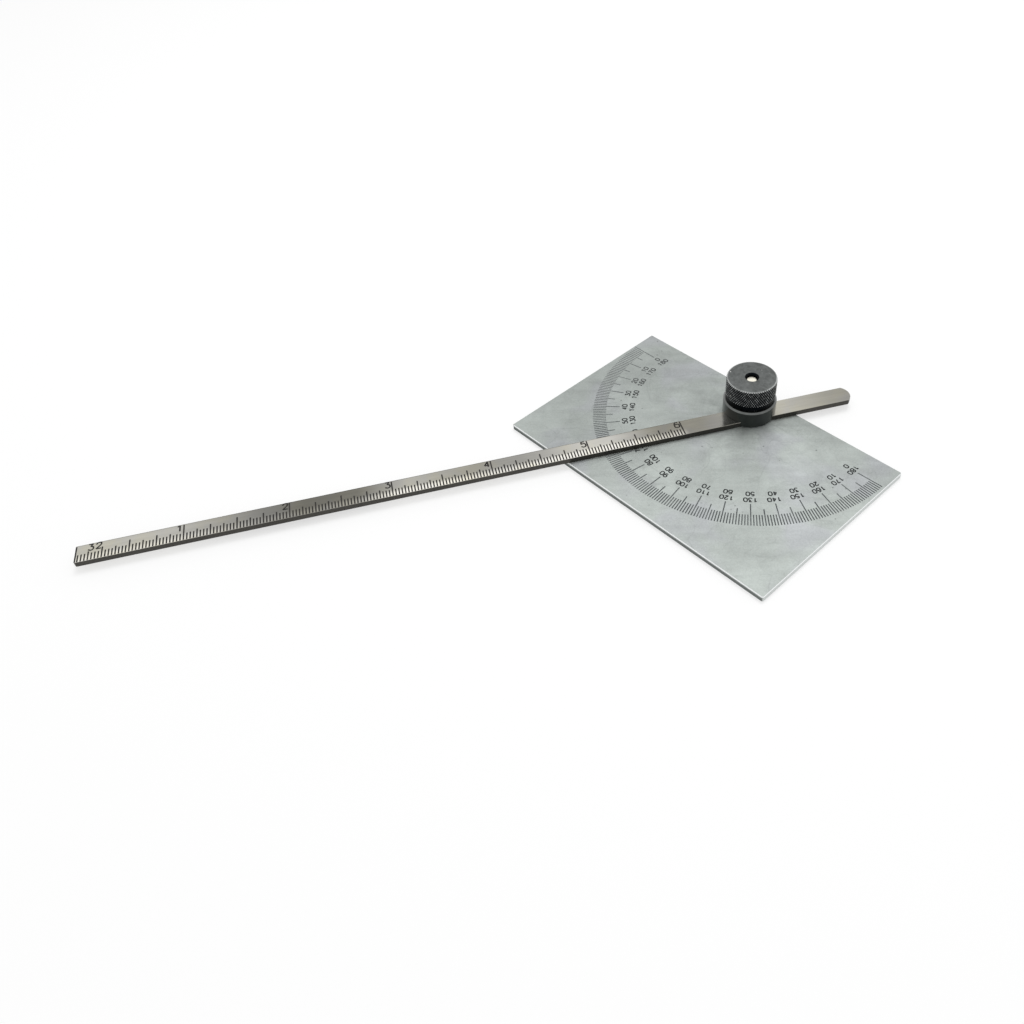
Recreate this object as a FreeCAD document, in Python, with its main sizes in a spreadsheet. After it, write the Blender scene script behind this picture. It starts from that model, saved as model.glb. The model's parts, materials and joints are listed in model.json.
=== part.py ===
"""Bevel protractor with a rectangular head and a sliding rule.

A flat steel plate carries a half-circle scale about a pivot near one long edge.  A headed stud
comes up through the plate, past the rule, through a round turret and into a knurled thumb nut.
The turret is slotted underneath: the rule slides in the slot, between turret and plate, and
turning the nut down squeezes turret, rule and plate together.

Frame: millimetres, +Z up.  The origin is on the pivot axis, in the plane of the plate's
underside.  +X runs along the plate's long edges and +Y points from the pivot across the scale.
The turret, the stud and the rule are drawn with the rule lying along +X, its reading edge in
the XZ plane, and are then turned about Z by the angle at which the rule is set.
"""
import FreeCAD
import Part
import math
import os

from FreeCAD import Vector
import Sketcher

DRIVING_SIZES = [
    # plate
    ("plate_length", 85.0, "long side of the plate"),
    ("plate_width", 54.5, "short side of the plate"),
    ("plate_thickness", 1.6, "plate stock, 1/16 in"),
    ("pivot_inset", 7.45, "pivot axis to the near long edge"),
    ("plate_corner_radius", 0.5, "corners seen from above"),
    ("plate_edge_break", 0.15, "broken edges, top and underside"),
    # rule
    ("rule_angle", 60.5, "direction of the rule's zero end, from +X"),
    ("rule_length", 199.5, "over all"),
    ("rule_width", 5.4, "narrow rule stock"),
    ("rule_thickness", 1.5, "rule stock"),
    ("rule_reach", 172.0, "pivot axis to the rule's zero end"),
    ("rule_end_radius", 3.3, "rounding of the plain end"),
    ("rule_corner_radius", 0.25, "corners of the zero end"),
    ("rule_edge_break", 0.05, "long edges of the rule"),
    # stud
    ("head_diameter", 10.0, "stud head under the plate"),
    ("head_thickness", 0.8, "stud head"),
    ("shank_diameter", 4.5, "stud in the plate and in the turret"),
    ("collar_height", 1.2, "full shank above the rule"),
    ("thread_diameter", 3.0, "threaded end of the stud"),
    ("stud_end_chamfer", 0.3, "tip of the thread"),
    # turret
    ("turret_diameter", 14.0, "turret"),
    ("turret_top", 4.95, "turret's top face above the plate"),
    ("turret_chamfer", 0.4, "upper rim of the turret"),
    ("turret_lower_break", 0.2, "lower rim of the turret"),
    ("turret_lift", 0.2, "turret's foot above the plate"),
    # nut
    ("nut_height", 6.5, "over all"),
    ("knurl_diameter", 13.2, "over the knurl's points"),
    ("knurl_depth", 0.24, "point to root"),
    ("knurl_columns", 68, "diamonds round the nut"),
    ("knurl_rows", 5, "diamonds up the nut"),
    ("knurl_rim", 0.22, "plain chamfer above and below the diamonds"),
    ("neck_diameter", 12.5, "smooth band under the knurl"),
    ("neck_height", 1.55, "smooth band under the knurl"),
    ("neck_chamfer", 0.2, "foot of the neck"),
    ("core_wall", 0.5, "knurl's root to the core it stands on"),
    ("countersink_diameter", 3.7, "mouth of the nut's hole"),
    ("tip_recess", 0.9, "stud's tip below the nut's top face"),
    # clearances
    ("running_gap", 0.05, "rule over plate, under slot roof, nut over turret"),
    ("side_gap", 0.05, "rule beside stud flat and slot wall"),
    ("bore_gap", 0.04, "round fits, on the radius"),
    ("head_gap", 0.15, "stud head in its counterbore, on the radius"),
    ("seat_gap", 0.02, "stud head and collar against their seats"),
]

DERIVED_SIZES = [
    ("rule_floor", "plate_thickness + running_gap", "rule's underside"),
    ("slot_roof", "rule_floor + rule_thickness + running_gap", "roof of the turret's slot"),
    ("turret_foot", "plate_thickness + turret_lift", "turret's underside"),
    ("turret_crown", "plate_thickness + turret_top", "turret's top face"),
    ("collar_top", "slot_roof + collar_height", "top of the stud's collar"),
    ("nut_foot", "turret_crown + running_gap", "underside of the nut's neck"),
    ("nut_crown", "nut_foot + nut_height", "top face of the nut"),
    ("knurl_foot", "nut_foot + neck_height", "underside of the knurled band"),
    ("stud_top", "nut_crown - tip_recess", "tip of the stud"),
    ("rule_tail", "rule_reach - rule_length", "plain end, measured along the rule"),
]

doc = FreeCAD.newDocument("bevel_protractor")


def make_sheet():
    """The spreadsheet of driving sizes, followed by the heights that come from them."""
    sheet = doc.addObject("Spreadsheet::Sheet", "Sizes")
    lines = [(alias, str(value), note) for alias, value, note in DRIVING_SIZES]
    lines += [(alias, "=" + formula, note) for alias, formula, note in DERIVED_SIZES]
    for row, (alias, content, note) in enumerate(lines, start=1):
        sheet.set(f"A{row}", alias)
        sheet.set(f"B{row}", content)
        sheet.set(f"C{row}", note)
        sheet.setAlias(f"B{row}", alias)
    doc.recompute()
    return sheet


sheet = make_sheet()


def size(alias):
    """A size from the sheet, as a plain number."""
    return float(sheet.get(alias))


# ---------------------------------------------------------------- drawing helpers

def origin_plane(body, role):
    """One of the body's own origin planes."""
    return [feature for feature in body.Origin.OriginFeatures if feature.Role == role][0]


def new_body(label):
    """An empty PartDesign body whose label names the piece."""
    body = doc.addObject("PartDesign::Body", label)
    body.Label = label
    return body


def new_sketch(body, name, role):
    """An empty sketch on one of the body's origin planes."""
    sketch = body.newObject("Sketcher::SketchObject", name)
    sketch.AttachmentSupport = [(origin_plane(body, role), "")]
    sketch.MapMode = "FlatFace"
    return sketch


def bind(sketch, constraint, expression):
    """Add a dimension whose value is an expression on the sheet."""
    index = sketch.addConstraint(constraint)
    sketch.setExpression(f"Constraints[{index}]", expression)


def hold(sketch, geometry, vertex, across, along):
    """Dimension one vertex from the sketch's origin, across and along."""
    for kind, expression in (("DistanceX", across), ("DistanceY", along)):
        value = float(sketch.evalExpression(expression))
        bind(sketch, Sketcher.Constraint(kind, -1, 1, geometry, vertex, value), expression)


def polygon(sketch, corners):
    """A closed outline of straight lines through corners given as pairs of expressions."""
    places = [Vector(float(sketch.evalExpression(across)), float(sketch.evalExpression(along)), 0)
              for across, along in corners]
    count = len(corners)
    for i in range(count):
        sketch.addGeometry(Part.LineSegment(places[i], places[(i + 1) % count]), False)
    for i in range(count):
        sketch.addConstraint(Sketcher.Constraint("Coincident", i, 2, (i + 1) % count, 1))
    for i, (across, along) in enumerate(corners):
        hold(sketch, i, 1, across, along)


def circle(sketch, radius):
    """A circle about the sketch's origin."""
    value = float(sketch.evalExpression(radius))
    sketch.addGeometry(Part.Circle(Vector(0, 0, 0), Vector(0, 0, 1), value), False)
    sketch.addConstraint(Sketcher.Constraint("Coincident", 0, 3, -1, 1))
    bind(sketch, Sketcher.Constraint("Radius", 0, value), radius)


def pad(body, sketch, length):
    """Thicken a sketch upwards."""
    feature = body.newObject("PartDesign::Pad", sketch.Name + "_pad")
    feature.Profile = sketch
    feature.setExpression("Length", length)
    doc.recompute()
    return feature


def revolve(body, sketch):
    """Turn a half section once round the body's Z axis."""
    feature = body.newObject("PartDesign::Revolution", sketch.Name + "_turned")
    feature.Profile = sketch
    feature.ReferenceAxis = (sketch, ["V_Axis"])
    feature.Angle = 360
    doc.recompute()
    return feature


def pocket(body, sketch, depth=None):
    """Cut a sketch out of the body: upwards to a depth, or right through both ways."""
    before = body.Shape.Volume
    feature = body.newObject("PartDesign::Pocket", sketch.Name + "_cut")
    feature.Profile = sketch
    if depth is None:
        feature.Type = "ThroughAll"
        feature.SideType = "Symmetric"
    else:
        feature.Reversed = True
        feature.setExpression("Length", depth)
    doc.recompute()
    if body.Shape.Volume >= before:
        raise RuntimeError(feature.Name + " cut nothing")
    return feature


def dress(body, kind, edges, measure):
    """Fillet or chamfer the edges of the body's last feature that a test picks out."""
    base = body.Tip
    names = [f"Edge{i}" for i, edge in enumerate(base.Shape.Edges, start=1) if edges(edge)]
    feature = body.newObject("PartDesign::" + kind, body.Label + "_" + kind.lower())
    feature.Base = (base, names)
    feature.setExpression("Radius" if kind == "Fillet" else "Size", measure)
    doc.recompute()
    return feature


def is_upright(edge):
    """True for a straight edge along Z."""
    box = edge.BoundBox
    return box.XLength + box.YLength < 1e-6 < box.ZLength


def is_level(edge):
    """True for an edge that keeps one height."""
    return edge.BoundBox.ZLength < 1e-6


def turn_with_rule(piece):
    """Turn a piece about the pivot axis to the angle at which the rule is set."""
    piece.setExpression("Placement.Rotation.Angle", "Sizes.rule_angle")


# ---------------------------------------------------------------- the plate

def make_plate():
    """Flat rectangular head with a stepped pivot hole, all its edges lightly broken."""
    body = new_body("protractor_plate")
    outline = new_sketch(body, "plate_outline", "XY_Plane")
    left = "-Sizes.plate_length / 2"
    right = "Sizes.plate_length / 2"
    near = "-Sizes.pivot_inset"
    far = "Sizes.plate_width - Sizes.pivot_inset"
    polygon(outline, [(left, near), (right, near), (right, far), (left, far)])
    pad(body, outline, "Sizes.plate_thickness")
    dress(body, "Fillet", is_upright, "Sizes.plate_corner_radius")
    dress(body, "Chamfer", is_level, "Sizes.plate_edge_break")
    bore = new_sketch(body, "pivot_bore", "XY_Plane")
    circle(bore, "Sizes.shank_diameter / 2 + Sizes.bore_gap")
    pocket(body, bore)
    recess = new_sketch(body, "head_recess", "XY_Plane")
    circle(recess, "Sizes.head_diameter / 2 + Sizes.head_gap")
    pocket(body, recess, "Sizes.head_thickness + Sizes.seat_gap")
    return body


# ---------------------------------------------------------------- the stud

def make_stud():
    """Turned stud, milled away beside the rule so that its flat guides the reading edge."""
    body = new_body("pivot_stud")
    section = new_sketch(body, "stud_section", "XZ_Plane")
    head = "Sizes.head_diameter / 2"
    shank = "Sizes.shank_diameter / 2"
    thread = "Sizes.thread_diameter / 2"
    tip = "Sizes.thread_diameter / 2 - Sizes.stud_end_chamfer"
    polygon(section, [
        ("0", "0"),
        (head, "0"),
        (head, "Sizes.head_thickness"),
        (shank, "Sizes.head_thickness"),
        (shank, "Sizes.collar_top"),
        (thread, "Sizes.collar_top"),
        (thread, "Sizes.stud_top - Sizes.stud_end_chamfer"),
        (tip, "Sizes.stud_top"),
        ("0", "Sizes.stud_top"),
    ])
    revolve(body, section)
    notch = new_sketch(body, "rule_notch", "YZ_Plane")
    flat = "-Sizes.side_gap"
    clear = "Sizes.shank_diameter"
    polygon(notch, [
        (flat, "Sizes.plate_thickness"),
        (clear, "Sizes.plate_thickness"),
        (clear, "Sizes.slot_roof"),
        (flat, "Sizes.slot_roof"),
    ])
    pocket(body, notch)
    turn_with_rule(body)
    return body


# ---------------------------------------------------------------- the turret

def make_turret():
    """Round block bored for the stud and slotted underneath, off centre, for the rule."""
    body = new_body("turret")
    section = new_sketch(body, "turret_section", "XZ_Plane")
    rim = "Sizes.turret_diameter / 2"
    bore = "Sizes.shank_diameter / 2 + Sizes.bore_gap"
    throat = "Sizes.thread_diameter / 2 + Sizes.bore_gap"
    step = "Sizes.collar_top + Sizes.seat_gap"
    polygon(section, [
        (bore, "Sizes.turret_foot"),
        (f"{rim} - Sizes.turret_lower_break", "Sizes.turret_foot"),
        (rim, "Sizes.turret_foot + Sizes.turret_lower_break"),
        (rim, "Sizes.turret_crown - Sizes.turret_chamfer"),
        (f"{rim} - Sizes.turret_chamfer", "Sizes.turret_crown"),
        (throat, "Sizes.turret_crown"),
        (throat, step),
        (bore, step),
    ])
    revolve(body, section)
    slot = new_sketch(body, "rule_slot", "YZ_Plane")
    near = "-Sizes.side_gap"
    far = "Sizes.rule_width + Sizes.side_gap"
    polygon(slot, [(near, "0"), (far, "0"), (far, "Sizes.slot_roof"), (near, "Sizes.slot_roof")])
    pocket(body, slot)
    turn_with_rule(body)
    return body


# ---------------------------------------------------------------- the rule

def make_rule():
    """Narrow rule, square at its zero end and rounded at the plain end."""
    body = new_body("rule")
    outline = new_sketch(body, "rule_outline", "XY_Plane")
    width = "Sizes.rule_width"
    reach = "Sizes.rule_reach"
    radius = "Sizes.rule_end_radius"
    centre = "(Sizes.rule_tail + Sizes.rule_end_radius)"
    half = size("rule_width") / 2
    round_end = size("rule_end_radius")
    centre_now = size("rule_tail") + round_end
    shoulder = centre_now - math.sqrt(round_end ** 2 - half ** 2)
    swing = math.asin(half / round_end)
    zero_end = size("rule_reach")
    full = size("rule_width")
    outline.addGeometry([
        Part.LineSegment(Vector(shoulder, 0, 0), Vector(zero_end, 0, 0)),
        Part.LineSegment(Vector(zero_end, 0, 0), Vector(zero_end, full, 0)),
        Part.LineSegment(Vector(zero_end, full, 0), Vector(shoulder, full, 0)),
        Part.ArcOfCircle(Part.Circle(Vector(centre_now, half, 0), Vector(0, 0, 1), round_end),
                         math.pi - swing, math.pi + swing),
    ], False)
    for first, end, second, start in ((0, 2, 1, 1), (1, 2, 2, 1), (2, 2, 3, 1), (3, 2, 0, 1)):
        outline.addConstraint(Sketcher.Constraint("Coincident", first, end, second, start))
    outline.addConstraint(Sketcher.Constraint("Horizontal", 0))
    outline.addConstraint(Sketcher.Constraint("Horizontal", 2))
    hold(outline, 1, 1, reach, "0")
    hold(outline, 1, 2, reach, width)
    hold(outline, 3, 3, centre, f"{width} / 2")
    bind(outline, Sketcher.Constraint("Radius", 3, round_end), radius)
    pad(body, outline, "Sizes.rule_thickness")
    dress(body, "Fillet", is_upright, "Sizes.rule_corner_radius")
    dress(body, "Chamfer", is_level, "Sizes.rule_edge_break")
    body.setExpression("Placement.Base.z", "Sizes.rule_floor")
    turn_with_rule(body)
    return body


# ---------------------------------------------------------------- the thumb nut

def knurled_sleeve():
    """The diamond knurling, as a sleeve that fits the nut's turned core.

    Places go round the sleeve, two to a diamond, and levels go up it, two to a diamond.  Places
    whose number and level add up to an even number are points and the others are roots.  Every
    cell between four of them is split along the groove from root to root.  Above and below the
    diamonds a plain chamfer runs in to a ring at the roots' radius.
    """
    point_radius = size("knurl_diameter") / 2
    root_radius = point_radius - size("knurl_depth")
    places = 2 * int(size("knurl_columns"))
    rows = 2 * int(size("knurl_rows"))
    foot = size("knurl_foot")
    crown = size("nut_crown")
    rim = size("knurl_rim")
    step = (crown - foot - 2 * rim) / rows
    heights = [foot] + [foot + rim + step * row for row in range(rows + 1)] + [crown]
    last = len(heights) - 1

    def corner(place, level):
        is_point = (place + level) % 2 == 0 and 0 < level < last
        radius = point_radius if is_point else root_radius
        angle = 2 * math.pi * place / places
        return Vector(radius * math.cos(angle), radius * math.sin(angle), heights[level])

    def triangle(a, b, c):
        return Part.Face(Part.makePolygon([a, b, c, a]))

    faces = []
    for level in range(last):
        for place in range(places):
            a = corner(place, level)
            b = corner(place + 1, level)
            c = corner(place + 1, level + 1)
            d = corner(place, level + 1)
            if (place + level) % 2 == 0:
                faces += [triangle(a, b, d), triangle(b, c, d)]
            else:
                faces += [triangle(a, b, c), triangle(a, c, d)]
    core_radius = root_radius - size("core_wall")
    inside = Part.makeCylinder(core_radius, crown - foot, Vector(0, 0, foot))
    faces.append(inside.Faces[0].reversed())
    for level in (0, last):
        ring = [corner(place, level) for place in range(places)]
        centre = Vector(0, 0, heights[level])
        rim_wire = Part.makePolygon(ring + ring[:1])
        core_wire = Part.Wire(Part.makeCircle(core_radius, centre))
        faces.append(Part.makeFace([rim_wire, core_wire], "Part::FaceMakerBullseye"))
    shell = Part.Shell(faces)
    shell.sewShape()
    return Part.Solid(shell)


def make_nut():
    """Turned nut with a smooth neck and a countersunk hole, under a sleeve of knurling."""
    core = new_body("nut_core")
    section = new_sketch(core, "nut_section", "XZ_Plane")
    bore = "Sizes.thread_diameter / 2 + Sizes.bore_gap"
    neck = "Sizes.neck_diameter / 2"
    seat = "Sizes.knurl_diameter / 2 - Sizes.knurl_depth - Sizes.core_wall"
    mouth = "Sizes.countersink_diameter / 2"
    polygon(section, [
        (bore, "Sizes.nut_foot"),
        (f"{neck} - Sizes.neck_chamfer", "Sizes.nut_foot"),
        (neck, "Sizes.nut_foot + Sizes.neck_chamfer"),
        (neck, "Sizes.knurl_foot"),
        (seat, "Sizes.knurl_foot"),
        (seat, "Sizes.nut_crown"),
        (mouth, "Sizes.nut_crown"),
        (bore, f"Sizes.nut_crown - ({mouth} - ({bore}))"),
    ])
    revolve(core, section)
    sleeve = doc.addObject("Part::Feature", "nut_knurling")
    sleeve.Shape = knurled_sleeve()
    nut = doc.addObject("Part::MultiFuse", "thumb_nut")
    nut.Shapes = [core, sleeve]
    nut.Label = "thumb_nut"
    doc.recompute()
    return nut


# ---------------------------------------------------------------- build, test and write

def check(pieces):
    """Stop if anything in the document failed, or if a piece isn't one closed solid."""
    for item in doc.Objects:
        if "Invalid" in item.State or "Error" in item.State:
            raise RuntimeError(f"{item.Name} failed: {item.State}")
    for piece in pieces:
        shape = piece.Shape
        if shape.isNull() or not shape.isValid() or len(shape.Solids) != 1:
            raise RuntimeError(f"{piece.Label} isn't one valid solid")


def main():
    pieces = [make_plate(), make_stud(), make_turret(), make_rule(), make_nut()]
    doc.recompute()
    check(pieces)
    os.makedirs("parts", exist_ok=True)
    for piece in pieces:
        piece.Shape.exportStep(f"parts/{piece.Label}.step")
        box = piece.Shape.BoundBox
        print(f"{piece.Label}: {piece.Shape.Volume:.1f} mm3, "
              f"{box.XLength:.2f} x {box.YLength:.2f} x {box.ZLength:.2f} mm")


main()
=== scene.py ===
# %% [markdown]
# # A bevel protractor: a steel plate with a swivelling rule
#
# The tool is a flat ground plate with a 0 to 180 degree scale, a slotted turret that turns on a stud at
# the centre of that scale, a narrow rule that slides through the turret, and a knurled thumb nut that
# locks both movements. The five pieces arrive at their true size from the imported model, so this script
# adds what gives them their looks: the light and the camera, the engraved scales, and the finishes.

# %% Load the frame
import json
import math

import bpy
from mathutils import Matrix, Vector


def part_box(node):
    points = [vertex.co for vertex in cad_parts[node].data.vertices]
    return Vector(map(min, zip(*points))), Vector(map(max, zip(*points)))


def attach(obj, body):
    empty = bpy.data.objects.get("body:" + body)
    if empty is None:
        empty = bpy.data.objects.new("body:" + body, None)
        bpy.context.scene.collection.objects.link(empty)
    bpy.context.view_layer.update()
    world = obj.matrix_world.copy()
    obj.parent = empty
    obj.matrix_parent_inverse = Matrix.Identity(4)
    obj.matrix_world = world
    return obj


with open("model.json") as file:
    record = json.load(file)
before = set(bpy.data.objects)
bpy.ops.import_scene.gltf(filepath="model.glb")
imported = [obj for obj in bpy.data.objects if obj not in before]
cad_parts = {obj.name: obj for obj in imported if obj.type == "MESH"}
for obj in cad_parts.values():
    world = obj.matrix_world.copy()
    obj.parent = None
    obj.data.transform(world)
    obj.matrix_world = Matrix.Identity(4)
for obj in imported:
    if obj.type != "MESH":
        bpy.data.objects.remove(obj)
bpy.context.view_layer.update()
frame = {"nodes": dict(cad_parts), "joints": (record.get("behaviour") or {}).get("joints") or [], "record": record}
print("CAD nodes:", sorted(frame["nodes"]))

# %% [markdown]
# ## Where things are
#
# Nothing is placed by eye. The top of the plate and of the rule come from the pieces' boxes, the rule's
# direction from the joint that it slides on, and its zero end from the mount at that end. All lengths
# below are written in millimetres and turned into metres by one factor.

# %% Sizes and directions from the frame
MM = 0.001
plate_low, plate_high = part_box("protractor_plate")
_, rule_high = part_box("rule")
_, turret_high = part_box("turret")
_, nut_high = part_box("thumb_nut")
joints = {joint["name"]: joint for joint in frame["joints"]}
mounts = {mount["name"]: mount for mount in frame["record"]["mounts"]}

along_rule = Vector(joints["rule_slide"]["axis"]).normalized()
across_rule = Vector((-along_rule.y, along_rule.x, 0))
rule_turn = math.atan2(along_rule.y, along_rule.x)
zero_end = Vector(mounts["rule_zero_end"]["pos_m"])
rule_reach = zero_end.dot(along_rule)
rule_width = 2 * zero_end.dot(across_rule)
print(f"rule reaches {rule_reach / MM:.1f} mm from the pivot and is {rule_width / MM:.2f} mm wide")
print(f"rule points {math.degrees(rule_turn):.1f} degrees from the plate's long edges")

# %% [markdown]
# ## Camera
#
# The view looks down on the tool from the side of the scale, from about a hand's distance, with a lens as
# wide as a pocket camera's. The lens is shifted a little sideways, and the camera leans a few degrees
# about its own axis.

# %% Camera
camera_place = Vector((-112.0, 157.9, 165.1)) * MM
camera_aim = Vector((4.8, 55.9, 1.6)) * MM
camera_lean = math.radians(-3.87)
camera_data = bpy.data.cameras.new("camera")
camera_data.sensor_width = 36
camera_data.lens = 32.56
camera_data.shift_x = -0.0723
camera_data.clip_start = 0.01
camera = bpy.data.objects.new("camera", camera_data)
bpy.context.collection.objects.link(camera)
facing = (camera_aim - camera_place).to_track_quat("-Z", "Y").to_matrix().to_4x4()
camera.matrix_world = Matrix.Translation(camera_place) @ facing @ Matrix.Rotation(camera_lean, 4, "Z")
bpy.context.scene.camera = camera
print("camera is", round((camera_aim - camera_place).length / MM), "mm from what it looks at")

# %% [markdown]
# ## Shader maths as plain expressions
#
# A finish is a small calculation that runs at every point of a surface: where am I, which way do I face,
# how worn is this spot. Node trees say that with dozens of Math nodes. One small class wraps an output
# socket and turns +, - and * into those nodes, so that the recipes further down read as formulas.

# %% A wire: one output socket that knows arithmetic
class Wire:
    """One output of a node. Arithmetic on it adds the matching Math node and gives a new Wire."""

    def __init__(self, finish, socket):
        self.finish = finish
        self.socket = socket

    def maths(self, operation, first, second=0.0):
        return self.finish.node("ShaderNodeMath", {"operation": operation}, {0: first, 1: second})

    def __add__(self, other):
        return self.maths("ADD", self, other)

    def __radd__(self, other):
        return self.maths("ADD", other, self)

    def __sub__(self, other):
        return self.maths("SUBTRACT", self, other)

    def __rsub__(self, other):
        return self.maths("SUBTRACT", other, self)

    def __mul__(self, other):
        return self.maths("MULTIPLY", self, other)

    def __rmul__(self, other):
        return self.maths("MULTIPLY", other, self)

    def __truediv__(self, other):
        return self.maths("DIVIDE", self, other)

    def __pow__(self, other):
        return self.maths("POWER", self, other)

    def __abs__(self):
        return self.maths("ABSOLUTE", self)

    def at_most(self, other):
        return self.maths("MINIMUM", self, other)

    def at_least(self, other):
        return self.maths("MAXIMUM", self, other)


print("a wire knows +, -, *, /, **, abs, at_most and at_least")

# %% A finish: one material and the nodes that it is made of
class Finish:
    """A material under construction. node() makes every node, and set() fills the shader's sockets."""

    def __init__(self, name):
        self.material = bpy.data.materials.new(name)
        self.material.use_nodes = True
        self.tree = self.material.node_tree
        self.shader = self.tree.nodes["Principled BSDF"]
        self.place = self.node("ShaderNodeTexCoord", output="Object")

    def node(self, kind, settings=None, sockets=None, output=0):
        made = self.tree.nodes.new(kind)
        for key, value in (settings or {}).items():
            if key == "stops":
                self.set_stops(made.color_ramp, value)
            else:
                setattr(made, key, value)
        for key, value in (sockets or {}).items():
            self.join(made.inputs[key], value)
        return Wire(self, made.outputs[output])

    def set_stops(self, ramp, stops):
        while len(ramp.elements) < len(stops):
            ramp.elements.new(1.0)
        for element, (position, level) in zip(ramp.elements, stops):
            element.position = position
            element.color = (level, level, level, 1)

    def join(self, socket, value):
        if isinstance(value, Wire):
            self.tree.links.new(value.socket, socket)
        elif isinstance(value, tuple) and len(value) == 3 and socket.type == "RGBA":
            socket.default_value = (*value, 1)
        else:
            socket.default_value = value

    def set(self, **values):
        for key, value in values.items():
            self.join(self.shader.inputs[key.replace("_", " ")], value)

    def axes(self, place):
        """The three coordinates of a place, as wires, in metres."""
        return [self.node("ShaderNodeSeparateXYZ", None, {0: place}, axis) for axis in "XYZ"]

    def join_axes(self, x, y, z):
        return self.node("ShaderNodeCombineXYZ", None, {0: x, 1: y, 2: z})

    def turned(self, place, angle):
        """The place in a frame that is turned by an angle about Z, such as the rule's own."""
        settings = {"vector_type": "POINT"}
        return self.node("ShaderNodeMapping", settings, {"Vector": place, "Rotation": (0, 0, -angle)})

    def noise(self, place, size, detail=3.0, roughness=0.5, bend=0.0):
        """Clouds whose features are about size metres across, from 0 to 1."""
        sockets = {"Vector": place, "Scale": 1 / size, "Detail": detail}
        sockets.update({"Roughness": roughness, "Distortion": bend})
        return self.node("ShaderNodeTexNoise", None, sockets)

    def dots(self, place, spacing):
        """Distance to the nearest of a scatter of points, in spacings, and a random number for each."""
        sockets = {"Vector": place, "Scale": 1 / spacing}
        distance = self.node("ShaderNodeTexVoronoi", None, sockets, "Distance")
        colour = Wire(self, distance.socket.node.outputs["Color"])
        lottery = self.node("ShaderNodeSeparateColor", None, {0: colour}, "Red")
        return distance, lottery

    def step(self, value, low, high):
        """0 below low, 1 above high, and smooth between."""
        sockets = {"Value": value, "From Min": low, "From Max": high}
        return self.node("ShaderNodeMapRange", {"interpolation_type": "SMOOTHSTEP"}, sockets)

    def profile(self, value, stops):
        """A curve through a few (position, level) stops, positions from 0 to 1."""
        return self.node("ShaderNodeValToRGB", {"stops": stops}, {0: value})

    def mix(self, share, first, second):
        """A colour that goes from first to second as share goes from 0 to 1."""
        return self.node("ShaderNodeMix", {"data_type": "RGBA"}, {0: share, 6: first, 7: second}, 2)

    def scaled(self, colour, level):
        """A colour made lighter or darker by a factor, red, green and blue alike."""
        settings = {"operation": "SCALE"}
        return self.node("ShaderNodeVectorMath", settings, {0: colour, "Scale": level})

    def bump(self, height, depth, strength=1.0):
        """A surface normal that leans as if the height, from 0 to 1, stood depth metres proud."""
        sockets = {"Strength": strength, "Distance": depth, "Height": height}
        return self.node("ShaderNodeBump", None, sockets)

    def facing_up(self):
        """How far the surface faces up or down: 1 on a flat top, 0 on an upright wall."""
        normal = self.node("ShaderNodeNewGeometry", output="True Normal")
        return abs(self.axes(normal)[2])


print("a finish can place, turn, cloud, dot, step, mix, scale and bump")

# %% Colours as they show on a screen
def display_grey(red, green, blue):
    """The linear colour that shows as these levels, from 0 to 255, on a screen."""
    levels = [level / 255 for level in (red, green, blue)]
    return tuple(((level + 0.055) / 1.055) ** 2.4 for level in levels)


print("a mid grey of 188 is", round(display_grey(188, 188, 188)[0], 2), "in linear light")

# %% [markdown]
# ## The ground plate
#
# The plate is mild steel, ground flat and then dulled to a satin grey so that the scale is easy to read.
# Decades of handling leave their marks. A mask for each, multiplied onto one base colour, works as stains
# do, because they darken whatever lies under them. First come the broad tones: clouds, smudges, grain and
# slanting rub marks, over a painted reflection, a slow gradient that is lightest towards the scale and away
# from the outer zero.

# %% Broad tones of the plate
def plate_tones(finish, x, y):
    """How bright the ground face is, with a painted reflection as a slow gradient, and the masks that the rest of
    the finish uses again.
    """
    place = finish.place
    clouds = finish.noise(place, 26 * MM, 4, 0.55, 0.4)
    smudges = finish.noise(place, 7 * MM, 5, 0.6, 0.8)
    grain = finish.noise(place, 0.35 * MM, 2, 0.5)
    along, across, _ = finish.axes(finish.turned(place, 0.75))
    rubbing = finish.noise(finish.join_axes(along * 0.15, across, 0.0), 2.6 * MM, 4, 0.65)
    level = 0.26 + 0.40 * clouds + 0.56 * smudges + 0.24 * grain + 0.28 * rubbing
    # Painted reflection: a slow gradient, lighter away from the outer zero and towards the scale.
    level = level * (0.99 - 2.3 * x + 3.0 * (y - 20 * MM))
    return level, clouds, smudges, grain


print("plate tones ready: clouds, smudges, rub marks and grain")

# %% [markdown]
# Then come the small marks. Drops that dried leave a thin darker rim, which is a narrow band round one
# level of a noise. Rust specks are dots that come up in a lottery, and only where the clouds are thick.
# Near the pivot, the turning turret has rubbed faint arcs, and the rule's edge has left rays.

# %% Small marks of the plate
def dried_drops_and_specks(finish, clouds):
    """A factor, 1 on clean steel and less on the rims of dried drops and on specks of rust."""
    drying = finish.noise(finish.place, 17 * MM, 2, 0.45, 1.4)
    rim = 1 - finish.step(abs(drying - 0.53), 0.0, 0.012)
    small_drying = finish.noise(finish.place, 8 * MM, 1, 0.4, 2.0)
    small_rim = 1 - finish.step(abs(small_drying - 0.60), 0.0, 0.015)
    distance, lottery = finish.dots(finish.place, 2.2 * MM)
    speck = (1 - finish.step(distance, 0.06, 0.14)) * finish.step(lottery, 0.66, 0.70)
    rusty = speck * finish.step(clouds, 0.44, 0.56)
    return (1 - 0.07 * rim) * (1 - 0.06 * small_rim) * (1 - 0.42 * rusty)


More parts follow.
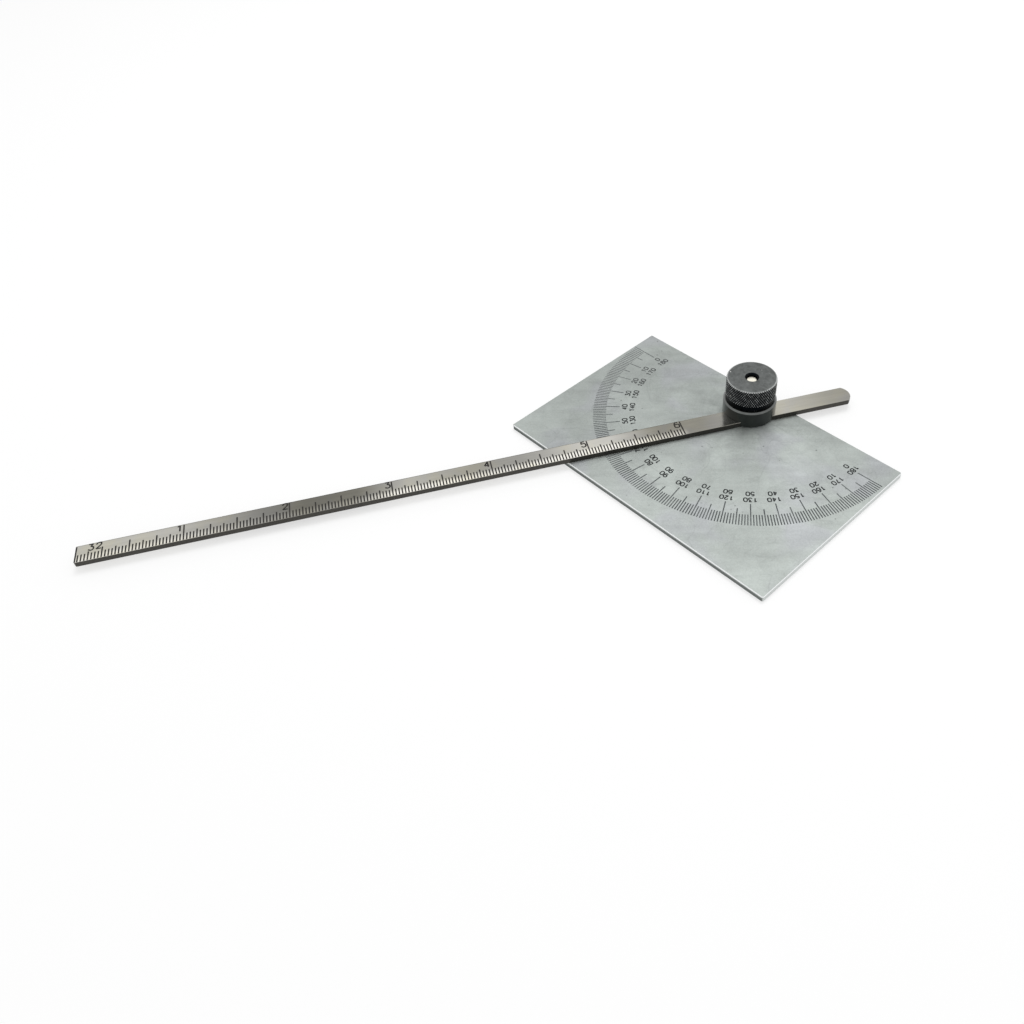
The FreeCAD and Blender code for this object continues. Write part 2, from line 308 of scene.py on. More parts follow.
def pivot_rubbing(finish, x, y):
    """A factor for the arcs and rays round the pivot, which fade out 36 mm from it."""
    radius = (x * x + y * y) ** 0.5
    bearing = finish.node("ShaderNodeMath", {"operation": "ARCTAN2"}, {0: y, 1: x})
    arcs = finish.noise(finish.join_axes(radius, 0.0, 0.0), 1.1 * MM, 3, 0.6)
    rays = finish.noise(finish.join_axes(bearing * 4 * MM, radius * 0.12, 0.0), 1.6 * MM, 3, 0.6)
    near = 1 - finish.step(radius, 9 * MM, 36 * MM)
    return 1 - near * (0.20 * (arcs - 0.5) + 0.70 * (rays - 0.5) - 0.02)


print("plate marks ready: dried drops, rust specks, arcs and rays round the pivot")

# %% [markdown]
# The broken edge gets a painted highlight, except at the end where the outer zero is, where it is painted dark
# instead. The side walls are painted in shade, darker than the face, with a painted highlight as a lip just
# under the edge, and the other short end is painted bright all over as a reflection. How far a surface faces
# up tells face, edge and wall apart.

# %% Edges and side walls of the plate
def plate_edges(finish, x, z, face):
    """The face's colour with the painted highlight on the edge and the painted shade, lip highlight and reflection
    on the walls laid over it, and the edge's own mask.
    """
    up = finish.facing_up()
    edge = finish.step(up, 0.25, 0.45) * (1 - finish.step(up, 0.96, 0.995))
    # Painted highlight on the broken edge, painted dark at the end of the outer zero.
    unlit_edge_end = finish.step(x, plate_high.x - 0.6 * MM, plate_high.x - 0.2 * MM)
    edge_highlight_tone = finish.mix(unlit_edge_end, display_grey(238, 240, 240), display_grey(100, 104, 102))
    # Painted shade on the walls, a painted highlight on the lip under the edge, and a painted reflection over the
    # far short end.
    wall = 1 - finish.step(up, 0.1, 0.3)
    reflecting_end = 1 - finish.step(x, plate_low.x + 0.05 * MM, plate_low.x + 0.4 * MM)
    lip_highlight = finish.step(z, plate_high.z - 0.55 * MM, plate_high.z - 0.30 * MM)
    wall_highlight = (reflecting_end * 0.9).at_least(lip_highlight * 0.8)
    wall_tone_with_painted_light = finish.mix(wall_highlight, display_grey(112, 116, 114), display_grey(226, 229, 228))
    return finish.mix(wall * 0.85, finish.mix(edge, face, edge_highlight_tone), wall_tone_with_painted_light), edge


print("plate edges ready for a plate", round((plate_high.z - plate_low.z) / MM, 2), "mm thick")

# %% [markdown]
# The finish puts these together over a steel that drifts between a green and a lilac grey, and adds the
# fine scratches and the grain as a bump a few thousandths of a millimetre deep.

# %% Plate finish
def make_plate_finish():
    finish = Finish("satin_ground_steel")
    x, y, z = finish.axes(finish.place)
    level, clouds, smudges, grain = plate_tones(finish, x, y)
    level = level * dried_drops_and_specks(finish, clouds) * pivot_rubbing(finish, x, y)

    cool = finish.noise(finish.place, 15 * MM, 2, 0.5, 0.3)
    green_grey = display_grey(166, 171, 168)
    lilac_grey = display_grey(166, 169, 170)
    steel = finish.mix(finish.step(cool, 0.48, 0.68), green_grey, lilac_grey)
    colour, edge = plate_edges(finish, x, z, finish.scaled(steel, level))

    along, across, _ = finish.axes(finish.turned(finish.place, 0.6))
    scratches = finish.noise(finish.join_axes(along * 0.03, across, 0.0), 0.5 * MM, 2, 0.6)
    finish.set(Base_Color=colour, Metallic=1.0)
    finish.set(Roughness=0.60 + 0.16 * smudges + 0.10 * (1 - clouds) - 0.25 * edge)
    finish.set(Normal=finish.bump(scratches * 0.5 + grain * 0.5, 0.004 * MM, 0.35))
    return finish.material


plate_finish = make_plate_finish()
print("plate finish has", len(plate_finish.node_tree.nodes), "nodes")

# %% [markdown]
# ## The brushed rule
#
# The rule is a strip of spring steel, brushed lengthwise and warmed to a beige grey by age. Its grain is
# noise that is stretched forty times along the strip, in the strip's own turned frame. The tone along the
# length is a painted reflection of the room, the ruled band carries a painted highlight along its front
# edge, and the sheared side faces are nearly black with scale.

# %% Tones of the rule's face
RULE_TAIL = -30 * MM
RULE_SPAN = 210 * MM
# Painted reflections: how bright the face is along the rule, from the tail to the zero end.
RULE_REFLECTIONS = [(0.00, 0.33), (0.04, 0.37), (0.10, 0.53), (0.21, 0.28), (0.27, 0.28), (0.33, 0.64)]
RULE_REFLECTIONS += [(0.36, 0.65), (0.44, 0.37), (0.50, 0.37), (0.58, 0.51), (0.61, 0.35), (0.64, 0.20)]
RULE_REFLECTIONS += [(0.70, 0.18), (0.75, 0.25), (0.85, 0.55), (0.99, 0.58)]


def rule_tones(finish, place, along, across, clouds, streaks, grain):
    """How bright the rule is: the painted reflections along it, the painted highlight on the front of the ruled
    band and the dark back edge.
    """
    bend = finish.noise(place, 30 * MM, 2, 0.5)
    tone = finish.profile((along - RULE_TAIL) / RULE_SPAN + 0.03 * (bend - 0.5), RULE_REFLECTIONS)
    level = tone * (0.62 + 0.18 * clouds + 0.20 * streaks + 0.14 * grain)
    near_front = finish.step(across, 0.52 * rule_width, 0.90 * rule_width)
    ruled = finish.step(along, 18 * MM, 21 * MM)
    back_line = 1 - finish.step(across, 0.10 * MM, 0.35 * MM)
    # A painted highlight along the front of the ruled band, strongest towards the pivot.
    front_highlight = 0.55 + 0.95 * (1 - finish.step(along, 88 * MM, 130 * MM))
    level = level * (1 + front_highlight * near_front * ruled) * (1 - 0.45 * back_line * ruled)
    return level.at_most(0.9)


print("rule tones:", len(RULE_REFLECTIONS), "stops over", round(RULE_SPAN / MM), "mm")

# %% Rule finish
def make_rule_finish():
    finish = Finish("brushed_spring_steel")
    place = finish.turned(finish.place, rule_turn)
    along, across, z = finish.axes(place)
    grain = finish.noise(finish.join_axes(along * 0.025, across, z), 0.16 * MM, 3, 0.6)
    streaks = finish.noise(finish.join_axes(along * 0.06, across, 0.0), 0.9 * MM, 3, 0.6)
    clouds = finish.noise(place, 9 * MM, 4, 0.6, 0.6)
    fine = finish.noise(place, 0.5 * MM, 2, 0.5)

    warm = display_grey(255, 253, 245)
    warmer = display_grey(255, 251, 234)
    tint = finish.mix(finish.step(clouds, 0.40, 0.65), warm, warmer)
    face = finish.scaled(tint, rule_tones(finish, place, along, across, clouds, streaks, grain))

    up = finish.facing_up()
    edge = finish.step(up, 0.3, 0.5) * (1 - finish.step(up, 0.95, 0.995))
    wall = 1 - finish.step(up, 0.12, 0.35)
    face = finish.mix(edge * 0.4, face, display_grey(170, 167, 158))
    side = finish.scaled(display_grey(255, 250, 240), 0.03 + 0.04 * fine + 0.03 * streaks)
    finish.set(Base_Color=finish.mix(wall, face, side))
    finish.set(Metallic=1.0, Roughness=0.10 + 0.10 * clouds + 0.06 * grain + 0.20 * wall)
    finish.set(Normal=finish.bump(grain, 0.006 * MM, 0.5))
    return finish.material


rule_finish = make_rule_finish()
print("rule finish has", len(rule_finish.node_tree.nodes), "nodes")

# %% [markdown]
# ## Black oxide on the turret and the nut
#
# Both are turned from bar and then blackened in a hot salt bath. The bath leaves a thin near-black skin
# over the turning marks, which are fine rings about the axis: noise that reads only the radius. The top is
# painted lighter and the wall darker, as painted light and shade. Hands rub the skin off the corners first,
# so the outer surfaces that lean between flat and upright show grey steel, which also serves as a painted
# highlight there. The turret's skin is smooth under a clear coat and a little green; the nut's is dull, and
# its wall carries a painted blue reflection.

# %% Black oxide finish
GREEN_BLACK = display_grey(240, 252, 247)
# A painted blue reflection, for the nut's wall.
BLUE_REFLECTED_BLACK = display_grey(205, 226, 252)
TOP_BLACK = display_grey(246, 252, 250)


def make_black_finish(name, hue, outer, top_tone_with_painted_light, wall_tone_with_painted_light, rim_wear_and_highlight, roughness, coat):
    """Black oxide on a turned piece that is outer metres in radius, painted lighter on top than on its shaded
    wall.
    """
    finish = Finish(name)
    x, y, _ = finish.axes(finish.place)
    radius = (x * x + y * y) ** 0.5
    rings = finish.noise(finish.join_axes(radius, 0.0, 0.0), 0.28 * MM, 3, 0.65)
    wide_rings = finish.noise(finish.join_axes(radius, 0.0, 0.3), 1.3 * MM, 2, 0.5)
    clouds = finish.noise(finish.place, 3.5 * MM, 4, 0.6, 0.5)
    fine = finish.noise(finish.place, 0.22 * MM, 2, 0.5)

    up = finish.facing_up()
    flat = finish.step(up, 0.90, 0.99)
    marks = (0.80 + 0.24 * rings + 0.20 * wide_rings) * flat + (1 - flat)
    # Painted light and shade: the top has one tone, the wall a darker one.
    tone = (top_tone_with_painted_light * flat + wall_tone_with_painted_light * (1 - flat)) * marks * (0.50 + 0.80 * clouds + 0.24 * fine)
    skin = finish.scaled(finish.mix(flat, hue, TOP_BLACK), tone)

    # Worn bare corners, which also carry a painted highlight.
    corner = finish.step(up, 0.45, 0.62) * (1 - finish.step(up, 0.80, 0.93))
    corner = corner * finish.step(radius, outer - 0.75 * MM, outer - 0.45 * MM)
    wear_and_glare = corner * rim_wear_and_highlight * (0.55 + 0.9 * clouds)
    finish.set(Base_Color=finish.mix(wear_and_glare.at_most(1.0), skin, display_grey(186, 188, 186)))
    finish.set(Metallic=1.0, Roughness=roughness + 0.16 * clouds + 0.08 * fine)
    finish.set(Coat_Weight=coat, Coat_Roughness=0.2)
    finish.set(Normal=finish.bump(rings * flat + 0.4 * fine, 0.006 * MM, 0.6))
    return finish, radius, clouds


turret_look = {"top_tone_with_painted_light": 0.055, "wall_tone_with_painted_light": 0.038, "rim_wear_and_highlight": 0.16, "roughness": 0.12, "coat": 0.55}
turret_black, *_ = make_black_finish("black_oxide_turret", GREEN_BLACK, turret_high.x, **turret_look)
turret_finish = turret_black.material
print("turret finish:", turret_finish.name)

# %% [markdown]
# The nut is the piece that fingers turn. Its top is mottled, the knurl's points carry painted glints here and
# there over valleys in painted shade, and the upper rim is worn bare and painted bright in bites, one for each
# column of the knurl, which a sine of the bearing counts out. A few grains of dust sit on it.

# %% Nut finish
KNURL_COLUMNS = 68
KNURL_DEPTH = 0.24 * MM
# The knurl's wall is painted near black, as painted shade in its valleys.
nut_look = {"top_tone_with_painted_light": 0.098, "wall_tone_with_painted_light": 0.008, "rim_wear_and_highlight": 0.6, "roughness": 0.30, "coat": 0.0}


def bitten_rim(finish, radius, clouds):
    """How bare the nut's upper rim is, worn steel and painted highlight together: solid on top of its corner, in
    bites just under it.
    """
    x, y, z = finish.axes(finish.place)
    bearing = finish.node("ShaderNodeMath", {"operation": "ARCTAN2"}, {0: y, 1: x})
    teeth = finish.node("ShaderNodeMath", {"operation": "SINE"}, {0: bearing * KNURL_COLUMNS})
    below_top = nut_high.z - z
    rim = finish.step(radius, nut_high.x - 0.50 * MM, nut_high.x - 0.18 * MM)
    rim = rim * (1 - finish.step(below_top, 0.10 * MM, 0.42 * MM))
    side = finish.step(below_top, 0.04 * MM, 0.14 * MM)
    return rim * (0.02 + 0.75 * clouds) * (1 - side * (0.5 - 0.5 * teeth))


def make_nut_finish():
    finish, radius, clouds = make_black_finish("black_oxide_nut", BLUE_REFLECTED_BLACK, nut_high.x, **nut_look)
    skin = Wire(finish, finish.shader.inputs["Base Color"].links[0].from_socket)
    mottle = finish.noise(finish.place, 1.2 * MM, 4, 0.65, 0.4)
    skin = finish.scaled(skin, 0.35 + 1.3 * mottle)

    # Painted glints: the knurl's points are painted lighter the further out they stand, here and there.
    point = ((radius - nut_high.x) / KNURL_DEPTH + 1).at_least(0.0)
    speckle = finish.step(finish.noise(finish.place, 0.9 * MM, 2, 0.5), 0.46, 0.60)
    bright = point ** 3.0 * (0.40 + 0.8 * speckle)
    bright = bright.at_least(bitten_rim(finish, radius, clouds)).at_most(1.0)
    glinting_skin = finish.mix(bright, skin, display_grey(226, 229, 228))

    distance, lottery = finish.dots(finish.place, 1.9 * MM)
    dust = (1 - finish.step(distance, 0.07, 0.13)) * finish.step(lottery, 0.80, 0.82)
    finish.set(Base_Color=finish.mix(dust * 0.8, glinting_skin, display_grey(240, 240, 236)))
    return finish.material


nut_finish = make_nut_finish()
print("nut finish:", nut_finish.name, "with", len(nut_finish.node_tree.nodes), "nodes")

# %% [markdown]
# ## The bright stud
#
# The stud is plain turned steel, left bright because the nut and the turret hide all of it but the tip
# and the flush head underneath. The tip catches the light at the bottom of the nut's hole.

# %% Stud finish
def make_stud_finish():
    finish = Finish("bright_turned_steel")
    x, y, _ = finish.axes(finish.place)
    radius = (x * x + y * y) ** 0.5
    rings = finish.noise(finish.join_axes(radius, 0.0, 0.0), 0.25 * MM, 3, 0.6)
    clouds = finish.noise(finish.place, 2 * MM, 3, 0.6, 0.4)
    level = 0.78 + 0.14 * rings + 0.16 * clouds
    finish.set(Base_Color=finish.scaled(display_grey(242, 238, 224), level))
    finish.set(Metallic=1.0, Roughness=0.24 + 0.18 * clouds)
    finish.set(Normal=finish.bump(rings, 0.005 * MM, 0.5))
    return finish.material


stud_finish = make_stud_finish()
print("stud finish:", stud_finish.name)

# %% [markdown]
# ## The filling of the engraved lines
#
# The lines and figures are cut into the steel and hold a dull black filling. It is not metal, it has worn
# thinner in places, and there the grey of the metal shows through. On the plate it is painted paler towards
# the outer zero, a painted grazing reflection that makes the figures there look faded.

# %% Filling for lines and figures
def make_filling(name, dark, pale, size, glare_fade=0.0):
    """A dull filling; the last argument is how much paler it is painted towards the outer zero of the plate, as a
    painted grazing reflection.
    """
    finish = Finish(name)
    wear = finish.noise(finish.place, size, 3, 0.6, 0.3)
    tone = finish.mix(finish.step(wear, 0.42, 0.68), display_grey(*dark), display_grey(*pale))
    if glare_fade:
        x, _, _ = finish.axes(finish.place)
        # Painted grazing reflection: the filling turns paler towards the outer zero.
        wear_and_glare = finish.step(x, 22 * MM, 40 * MM) * (0.7 + 0.6 * wear) * glare_fade
        tone = finish.mix(wear_and_glare.at_most(1.0), tone, display_grey(132, 135, 134))
    finish.set(Base_Color=tone)
    finish.set(Metallic=0.0, Roughness=0.6 + 0.2 * wear)
    finish.shader.inputs["Specular IOR Level"].default_value = 0.3
    return finish.material


line_filling = make_filling("plate_line_filling", (70, 74, 75), (98, 102, 102), 5 * MM, 0.5)
figure_filling = make_filling("plate_figure_filling", (24, 26, 28), (50, 53, 54), 5 * MM, 0.65)
rule_filling = make_filling("rule_line_filling", (24, 22, 21), (48, 45, 41), 4 * MM)
print("fillings:", line_filling.name, figure_filling.name, rule_filling.name)

# %% [markdown]
# ## A line of the scales
#
# A graduation is a groove that starts square and runs out round. Real grooves would need the plate cut a
# few hundred times, so each is laid in as a slab of filling instead: it stands a hundredth of a
# millimetre proud, less than the turret and the rule clear, and it reads as a crisp dark line. One slab is
# modelled for each length: a cube is stretched along X, and the upright edges of its far end are bevelled.

# %% Selecting by hand, in code
FILL_RISE = 0.012 * MM


def start_fresh():
    """Back to object mode with nothing selected, so that an operator acts only on what comes next."""
    if bpy.context.object and bpy.context.object.mode != "OBJECT":
        bpy.ops.object.mode_set(mode="OBJECT")
    bpy.ops.object.select_all(action="DESELECT")


def choose_edges(piece, wanted):
    """In edit mode, selects the edges whose two ends pass the test and nothing else."""
    bpy.ops.object.mode_set(mode="EDIT")
    bpy.ops.mesh.select_mode(type="EDGE")
    bpy.ops.mesh.select_all(action="DESELECT")
    bpy.ops.object.mode_set(mode="OBJECT")
    points = piece.data.vertices
    for edge in piece.data.edges:
        edge.select = wanted(points[edge.vertices[0]].co, points[edge.vertices[1]].co)
    bpy.ops.object.mode_set(mode="EDIT")


def is_far_upright(first, second):
    return abs(first.z - second.z) > FILL_RISE and first.x > FILL_RISE


print("a filling stands", round(FILL_RISE / MM, 3), "mm proud")

# %% One graduation line
def make_line(length, width):
    """A line that starts square at the origin and runs along +X to a round end."""
    start_fresh()
    middle = (length / 2, 0, 0)
    bpy.ops.mesh.primitive_cube_add(size=1, location=middle, scale=(length, width, 2 * FILL_RISE))
    line = bpy.context.object
    bpy.ops.object.transform_apply(location=True, rotation=False, scale=True)
    choose_edges(line, is_far_upright)
    bpy.ops.mesh.bevel(offset=0.45 * width, segments=2, affect="EDGES")
    bpy.ops.object.mode_set(mode="OBJECT")
    return line


def lay_copy(template, place):
    """A copy of a finished template, with its own mesh, moved to its place."""
    copy = template.copy()
    copy.data = template.data.copy()
    bpy.context.collection.objects.link(copy)
    copy.data.transform(place)
    return copy


def join_as(name, copies, templates, filling, body):
    """Joins the copies into one named piece, drops their templates and dresses the result."""
    start_fresh()
    for copy in copies:
        copy.select_set(True)
    bpy.context.view_layer.objects.active = copies[0]
    bpy.ops.object.join()
    piece = bpy.context.object
    piece.name = name
    piece.data.name = name
    piece.data.materials.clear()
    piece.data.materials.append(filling)
    for template in templates:
        bpy.data.objects.remove(template)
    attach(piece, body)
    print(name, "joined from", len(copies), "copies,", len(piece.data.polygons), "faces")


print("lines can be made, laid in copies and joined")

# %% [markdown]
# ## The half circle of degrees
#
# Every degree has a line. The fives reach further in, and the tens further still, up to the figures. The
# outer ends lie on one arc about the pivot, except the line of the first zero, which runs past it to the
# edge of the plate.

# %% Degree lines on the plate
plate_top = plate_high.z
SCALE_RADIUS = 41.75 * MM
ZERO_LINE_RADIUS = 42.3 * MM
DEGREE_REACH = {1: 38.2 * MM, 5: 36.35 * MM, 10: 34.6 * MM}
DEGREE_LINE_WIDTH = 0.29 * MM


def degree_class(degree):
    return 10 if degree % 10 == 0 else 5 if degree % 5 == 0 else 1


degree_lines = {}
for kind, inner in DEGREE_REACH.items():
    degree_lines[kind] = make_line(SCALE_RADIUS - inner, DEGREE_LINE_WIDTH)
degree_lines[0] = make_line(ZERO_LINE_RADIUS - DEGREE_REACH[10], DEGREE_LINE_WIDTH)
laid = []
for degree in range(181):
    kind = degree_class(degree)
    turn = Matrix.Rotation(math.radians(degree), 4, "Z")
    reach_in = Matrix.Translation((DEGREE_REACH[kind], 0, plate_top))
    laid.append(lay_copy(degree_lines[kind if degree else 0], turn @ reach_in))
join_as("degree_lines", laid, degree_lines.values(), line_filling, "head")

# %% [markdown]
# ## The inches of the rule
#
# Six inches are divided into thirty-seconds. The lines start at the front edge, and how far they reach
# across says what they stand for: a long line for the half, less for quarters and eighths, and the full
# width for the inch. They are thicker than the plate's, as on most narrow rules.

# %% Inch lines on the rule
rule_top = rule_high.z
INCH = 25.4 * MM
PARTS = 32
INCHES = 6
INCH_LINE_WIDTH = 0.36 * MM
EDGE_MARGIN = 0.05 * MM
RULE_SHARE = {32: 0.96, 16: 0.74, 8: 0.66, 4: 0.54, 2: 0.44, 1: 0.43}


def line_class(part):
    """The largest power of two, up to a whole inch, that divides this thirty-second."""
    kind = PARTS
    while part % kind:
        kind //= 2
    return kind


rule_frame = Matrix.Rotation(rule_turn, 4, "Z")
inch_lines = {}
for kind, share in RULE_SHARE.items():
    inch_lines[kind] = make_line(share * rule_width - EDGE_MARGIN, INCH_LINE_WIDTH)
towards_back = Matrix.Rotation(math.radians(-90), 4, "Z")
laid = []
for part in range(INCHES * PARTS + 1):
    along = rule_reach - part * INCH / PARTS
    if part == 0:
        along -= INCH_LINE_WIDTH / 2 + EDGE_MARGIN
    start = Matrix.Translation((along, rule_width - EDGE_MARGIN, rule_top))
    laid.append(lay_copy(inch_lines[line_class(part)], rule_frame @ start @ towards_back))
join_as("inch_lines", laid, inch_lines.values(), rule_filling, "blade")

# %% [markdown]
# ## Figures
#
# The figures were cut with a pantograph, which follows a master letter with a round tool: every stroke has
# the same width and a round end. A curve with a round bevel does just that. Each figure is a few strokes
# through listed control points in a box one unit high, made once, turned into a mesh and pressed
# flat; then copies are stamped wherever the scales need them.

# %% Strokes of the ten figures
WIDE = 0.62
FIGURE_STROKES = {
    "0": [("ring", [(0.31, 1.02), (0.62, 0.94), (0.68, 0.5), (0.62, 0.06),
                    (0.31, -0.02), (0, 0.06), (-0.06, 0.5), (0, 0.94)])],
    "1": [("line", [(0.36, 0), (0.36, 1)]), ("line", [(0.36, 1), (0.28, 0.90), (0.06, 0.84)])],
    "2": [("line", [(0.02, 0.74), (0.04, 1.02), (0.60, 1.06), (0.62, 0.66), (0.36, 0.36), (0, 0)]),
          ("line", [(0, 0), (0.62, 0)])],
    "3": [("line", [(0.03, 1), (0.56, 1)]), ("line", [(0.56, 1), (0.26, 0.62)]),
          ("line", [(0.26, 0.62), (0.62, 0.60), (0.64, 0.02), (0.18, -0.08), (0, 0.16)])],
    "4": [("line", [(0.46, 0), (0.46, 1)]), ("line", [(0.46, 1), (0, 0.30)]),
          ("line", [(0, 0.30), (0.62, 0.30)])],
    "5": [("line", [(0.56, 1), (0.12, 1)]), ("line", [(0.12, 1), (0.06, 0.56)]),
          ("line", [(0.06, 0.56), (0.34, 0.70), (0.64, 0.58), (0.64, 0.02), (0.18, -0.08), (0, 0.16)])],
    "6": [("line", [(0.54, 0.94), (0.26, 1.08), (0.00, 0.80), (0.00, 0.34)]),
          ("ring", [(0.31, 0.62), (0.62, 0.60), (0.64, 0.30), (0.60, 0.0),
                    (0.31, -0.02), (0, 0.0), (-0.02, 0.30), (0, 0.60)])],
    "7": [("line", [(0, 1), (0.60, 1)]), ("line", [(0.60, 1), (0.34, 0.62), (0.20, 0)])],
    "8": [("ring", [(0.31, 1.02), (0.56, 1.00), (0.58, 0.78), (0.54, 0.56),
                    (0.31, 0.54), (0.08, 0.56), (0.04, 0.78), (0.06, 1.00)]),
          ("ring", [(0.31, 0.56), (0.60, 0.56), (0.64, 0.28), (0.60, 0.0),
                    (0.31, -0.02), (0, 0.0), (-0.02, 0.28), (0, 0.56)])],
}


def half_turned(strokes):
    """The same strokes turned half a turn in their box: a 9 is a 6 on its head."""
    return [(form, [(WIDE - x, 1 - y) for x, y in points]) for form, points in strokes]


FIGURE_STROKES["9"] = half_turned(FIGURE_STROKES["6"])
print("figures drawn:", "".join(sorted(FIGURE_STROKES)))

# %% One figure as a flat mesh
def make_stroke(form, points, thickness):
    """A round stroke of a thickness along a curve, which is closed if its form is a ring."""
    start_fresh()
    bpy.ops.curve.primitive_nurbs_path_add(radius=1)
    stroke = bpy.context.object
    curve = stroke.data
    curve.splines.clear()
    spline = curve.splines.new("NURBS")
    spline.points.add(len(points) - 1)
    for point, (x, y) in zip(spline.points, points):
        point.co = (x, y, 0, 1)
    spline.order_u = 3
    spline.use_cyclic_u = form == "ring"
    spline.use_endpoint_u = form == "line"
    curve.dimensions = "3D"
    curve.resolution_u = 3
    curve.bevel_depth = thickness / 2
    curve.bevel_resolution = 0
    curve.use_fill_caps = True
    bpy.ops.object.convert(target="MESH")
    return bpy.context.object


def make_figure(figure, height, thickness):
    """A figure of a height in metres, its foot on the origin, pressed flat to the filling's rise."""
    strokes = [make_stroke(form, points, thickness / height) for form, points in FIGURE_STROKES[figure]]
    start_fresh()
    for stroke in strokes:
        stroke.select_set(True)
    bpy.context.view_layer.objects.active = strokes[0]
    if len(strokes) > 1:
        bpy.ops.object.join()
    made = bpy.context.object
    made.scale = (height, height, 2 * FILL_RISE / thickness * height)
    bpy.ops.object.transform_apply(location=False, rotation=False, scale=True)
    return made


def stamp(label, figures, height, foot, right, up, pitch=0.95):
    """Copies of figures that spell a label, centred on a foot point, reading towards right."""
    width = (len(label) - 1) * pitch + WIDE
    turn = Matrix((right, up, Vector((0, 0, 1)))).transposed().to_4x4()
    copies = []
    for number, figure in enumerate(label):
        corner = foot + right * (number * pitch - width / 2) * height
        copies.append(lay_copy(figures[figure], Matrix.Translation(corner) @ turn))
    return copies


print("a figure is", WIDE, "of its height wide")

# %% [markdown]
# ## Two rows of figures on the plate
#
# The outer row counts from the first zero, the inner row counts back, so an angle can be read from either
# side. The tops of the figures point away from the pivot.

# %% Degree figures
OUTER_ROW_FOOT = 32.62 * MM
INNER_ROW_FOOT = 30.57 * MM
DEGREE_FIGURE_HEIGHT = 1.25 * MM
DEGREE_FIGURE_STROKE = 0.32 * MM
figures = {key: make_figure(key, DEGREE_FIGURE_HEIGHT, DEGREE_FIGURE_STROKE) for key in FIGURE_STROKES}
laid = []
for degree in range(0, 181, 10):
    turn = math.radians(degree)
    outward = Vector((math.cos(turn), math.sin(turn), 0))
    right = Vector((outward.y, -outward.x, 0))
    for foot_radius, label in ((OUTER_ROW_FOOT, degree), (INNER_ROW_FOOT, 180 - degree)):
        foot = outward * foot_radius + Vector((0, 0, plate_top))
        laid += stamp(str(label), figures, DEGREE_FIGURE_HEIGHT, foot, right, outward)
join_as("degree_figures", laid, figures.values(), figure_filling, "head")

# %% [markdown]
# ## The figures of the rule
#
# A figure stands just before each inch line, near the back edge, and the number of divisions to the inch
# stands by the zero end. They read from the zero end towards the pivot.

# %% Inch figures
RULE_FIGURE_HEIGHT = 1.92 * MM
RULE_FIGURE_STROKE = 0.40 * MM
FIGURE_FOOT = 2.2 * MM
INCH_FIGURE_GAP = 1.05 * MM
DIVISIONS_PLACE = 4.55 * MM
figures = {key: make_figure(key, RULE_FIGURE_HEIGHT, RULE_FIGURE_STROKE) for key in FIGURE_STROKES}


def on_rule(along, across):
    return along_rule * along + across_rule * across + Vector((0, 0, rule_top))


laid = []
for inch in range(1, INCHES + 1):
    foot = on_rule(rule_reach - inch * INCH + INCH_FIGURE_GAP, FIGURE_FOOT)
    laid += stamp(str(inch), figures, RULE_FIGURE_HEIGHT, foot, -along_rule, -across_rule)
foot = on_rule(rule_reach - DIVISIONS_PLACE, FIGURE_FOOT)
laid += stamp(str(PARTS), figures, RULE_FIGURE_HEIGHT, foot, -along_rule, -across_rule)
join_as("inch_figures", laid, figures.values(), rule_filling, "blade")

# %% [markdown]
# ## Dressing the five steel pieces
#
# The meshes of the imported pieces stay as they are. Each only gets its finish in its material slot.

# %% Finishes on the CAD nodes
DRESS = {
    "protractor_plate": plate_finish,
    "rule": rule_finish,
    "turret": turret_finish,
    "thumb_nut": nut_finish,
    "pivot_stud": stud_finish,
}
for node_name, finish_material in DRESS.items():
    node = frame["nodes"][node_name]
    node.data.materials.clear()
    node.data.materials.append(finish_material)
print("dressed:", ", ".join(DRESS))

# %% [markdown]
# ## Floor and light
#
# A plain white floor carries the tool. What the camera and the steel see of it is mostly white of its
# own, and the rest is lit paint, so it stays white and still takes a soft shadow. It lies a hair below
# the plate, and from below it is clear, so that the underside can be looked at. The sky is white for the
# camera and for reflections, and a large soft lamp stands behind the tool.

# %% Floor
FLOOR_WIDTH = 4
FLOOR_DROP = 0.02 * MM
FLOOR_GLOW = 0.60


def seen_directly(finish):
    """1 for rays from the camera, and for those that come by way of metal or glass."""
    rays = [finish.node("ShaderNodeLightPath", output=name) for name in
            ("Is Camera Ray", "Is Glossy Ray", "Is Transmission Ray")]
    return rays[0].at_least(rays[1]).at_least(rays[2])


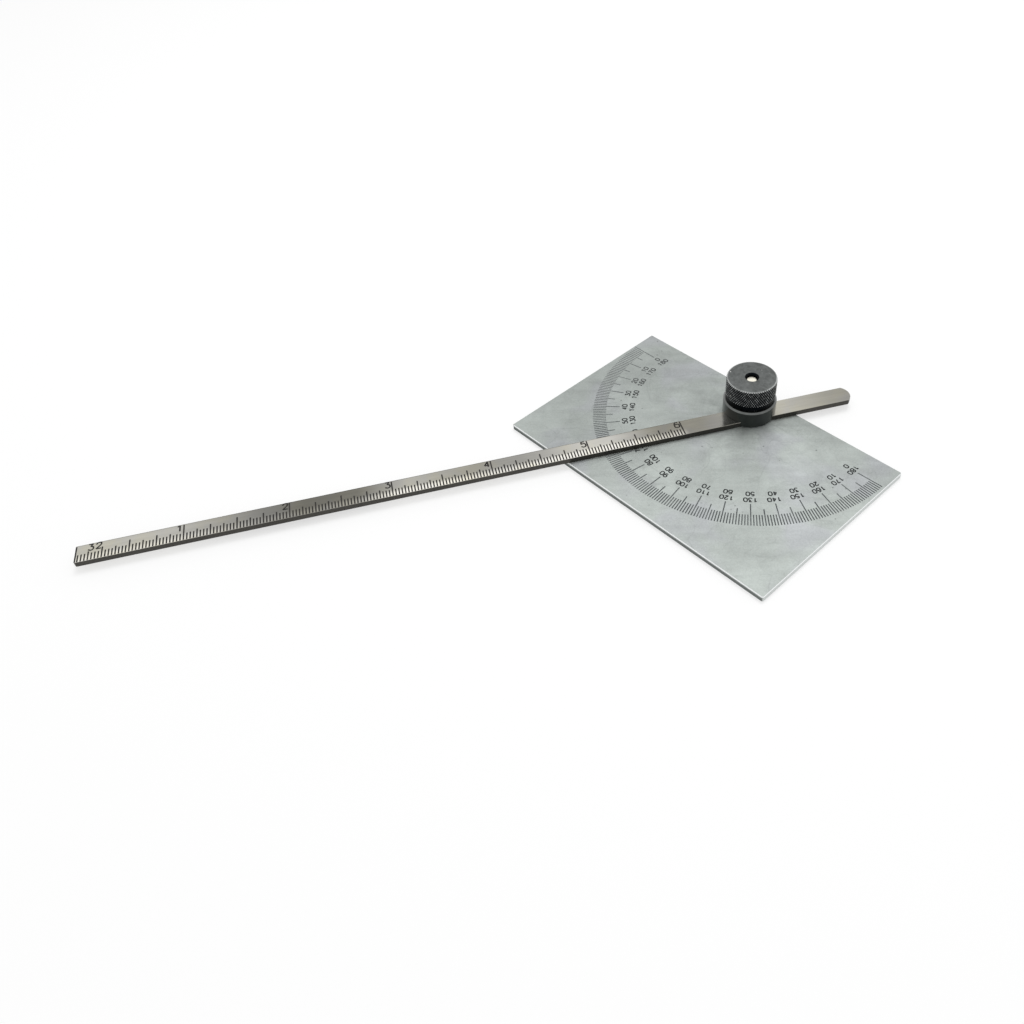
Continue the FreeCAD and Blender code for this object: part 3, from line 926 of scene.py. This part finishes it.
def make_floor_finish():
    finish = Finish("white_floor")
    finish.set(Base_Color=(0.94, 0.94, 0.94), Roughness=0.8)
    finish.shader.inputs["Specular IOR Level"].default_value = 0.1
    share = seen_directly(finish) * FLOOR_GLOW
    lit = Wire(finish, finish.shader.outputs["BSDF"])
    glow = finish.node("ShaderNodeEmission", None, {"Color": (1, 1, 1), "Strength": 1.0})
    upper_side = finish.node("ShaderNodeMixShader", None, {0: share, 1: lit, 2: glow})
    from_below = finish.node("ShaderNodeNewGeometry", output="Backfacing")
    clear = finish.node("ShaderNodeBsdfTransparent")
    floor = finish.node("ShaderNodeMixShader", None, {0: from_below, 1: upper_side, 2: clear})
    finish.join(finish.tree.nodes["Material Output"].inputs["Surface"], floor)
    return finish.material


start_fresh()
bpy.ops.mesh.primitive_plane_add(size=FLOOR_WIDTH, location=(0, 0, -FLOOR_DROP))
bpy.ops.object.transform_apply(location=True)
floor = bpy.context.object
floor.name = "floor"
floor.data.materials.append(make_floor_finish())
print("floor is", floor.dimensions.x, "m wide")

# %% Sky
DIFFUSE_SKY = 0.70
world = bpy.data.worlds.new("studio")
world.use_nodes = True
bpy.context.scene.world = world


class Sky(Finish):
    """The world's node tree, with the same tools as a finish."""

    def __init__(self, target):
        self.tree = target.node_tree
        self.shader = self.tree.nodes["Background"]


sky = Sky(world)
sky.set(Color=(1, 1, 1), Strength=DIFFUSE_SKY + (1 - DIFFUSE_SKY) * seen_directly(sky))
print("sky at", DIFFUSE_SKY, "for diffuse light, white for the camera and for reflections")

# %% Lamp
lamp_place = Vector((0.14, -0.20, 0.80))
tool_middle = Vector((0.02, 0.05, 0))
lamp_data = bpy.data.lights.new("back_softbox", "AREA")
lamp_data.shape = "RECTANGLE"
lamp_data.size = 0.40
lamp_data.size_y = 0.40
lamp_data.energy = 3.2
lamp = bpy.data.objects.new("back_softbox", lamp_data)
bpy.context.collection.objects.link(lamp)
turn = (tool_middle - lamp_place).to_track_quat("-Z", "Y").to_matrix().to_4x4()
lamp.matrix_world = Matrix.Translation(lamp_place) @ turn
print("lamp is", round((tool_middle - lamp_place).length, 2), "m from the tool")

bpy.context.scene.view_settings.view_transform = "Standard"
